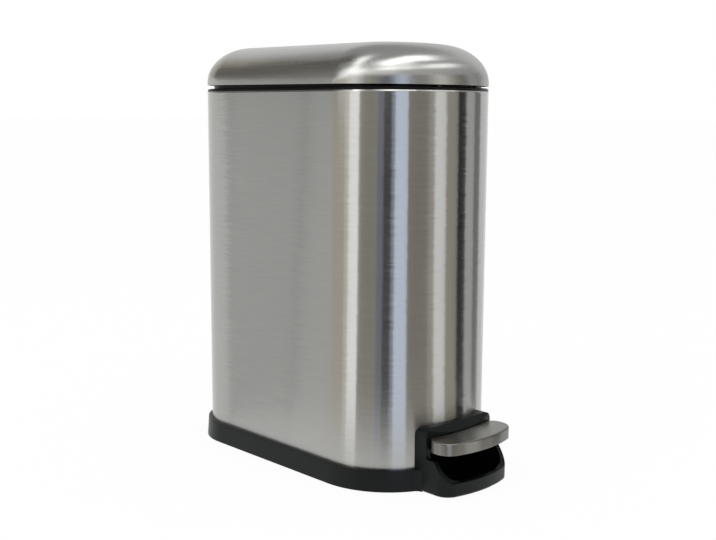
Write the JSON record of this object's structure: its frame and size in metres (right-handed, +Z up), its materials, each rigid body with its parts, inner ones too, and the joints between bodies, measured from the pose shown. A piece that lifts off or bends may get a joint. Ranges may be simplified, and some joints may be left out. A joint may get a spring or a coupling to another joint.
{
  "type": "step trash can",
  "caption": "Slim step can with a domed soft-close lid, a treadle in a moulded scoop and a lift-out inner bucket.",
  "frame": {"origin": "centre of the bounding box on the floor, under the can", "axes": "+Z up, -Y towards the treadle at the front, +X to the right seen from the front"},
  "size_m": [0.1792, 0.334, 0.3931],
  "materials": {
    "brushed_body": "brushed across, satin",
    "brushed_lid": "brushed, domed",
    "zinc_steel": "zinc plated, dull",
    "bright_steel": "ground and polished",
    "black_plastic": "fine satin grain",
    "grey_plastic": "smooth satin",
    "white_acetal": "natural acetal",
    "soft_rubber": "matt"
  },
  "bodies": {
    "can": {"outer_shell": "brushed_body", "base_moulding": "black_plastic", "base_plate": "black_plastic", "foot_pads": "soft_rubber", "base_screws": "zinc_steel", "rim_collar": "black_plastic", "rim_bumpers": "soft_rubber", "hinge_bracket": "zinc_steel", "hinge_pin": "bright_steel", "hinge_cover": "black_plastic", "bracket_rivets": "zinc_steel", "rod_guides": "white_acetal", "guide_rivets": "zinc_steel", "damper_body": "zinc_steel", "damper_cap": "grey_plastic", "damper_clamp": "grey_plastic", "rear_channel_cover": "black_plastic", "pivot_bracket": "zinc_steel", "pivot_axle": "bright_steel", "axle_clips": "zinc_steel", "pivot_screws": "zinc_steel"},
    "lid": {"lid_shell": "brushed_lid", "lid_liner": "black_plastic", "hinge_leaf": "zinc_steel", "leaf_screws": "zinc_steel", "crank_pin": "bright_steel"},
    "treadle": {"pedal_plate": "brushed_body", "pedal_core": "black_plastic", "pedal_lever": "zinc_steel", "lever_bushes": "white_acetal", "lever_pin": "bright_steel", "pedal_rivets": "zinc_steel"},
    "push_rod": {"push_rod": "zinc_steel", "rod_yoke": "white_acetal", "rod_foot": "white_acetal", "damper_link": "grey_plastic", "damper_piston": "bright_steel"},
    "bucket": {"inner_bucket": "grey_plastic"}
  },
  "joints": [
    {"name": "lid_hinge", "type": "hinge", "parent": "can", "child": "lid", "pos_m": [0, 0.161, 0.353], "axis": [-1, 0, 0], "range_deg": [0, 80]},
    {"name": "rod_slide", "type": "slide", "parent": "can", "child": "push_rod", "axis": [0, 0, 1], "range_m": [0, 0.02591]},
    {"name": "pedal_pivot", "type": "hinge", "parent": "can", "child": "treadle", "pos_m": [0, -0.075, 0.026], "axis": [1, 0, 0], "range_deg": [0, 6.8]},
    {"name": "bucket_lift", "type": "slide", "parent": "can", "child": "bucket", "axis": [0, 0, 1], "range_m": [0, 0.02]}
  ],
  "couplings": [
    {"joint": "rod_slide", "follows": "lid_hinge", "m_per_rad": 0.018415},
    {"joint": "pedal_pivot", "follows": "lid_hinge", "ratio": 0.084339}
  ]
}
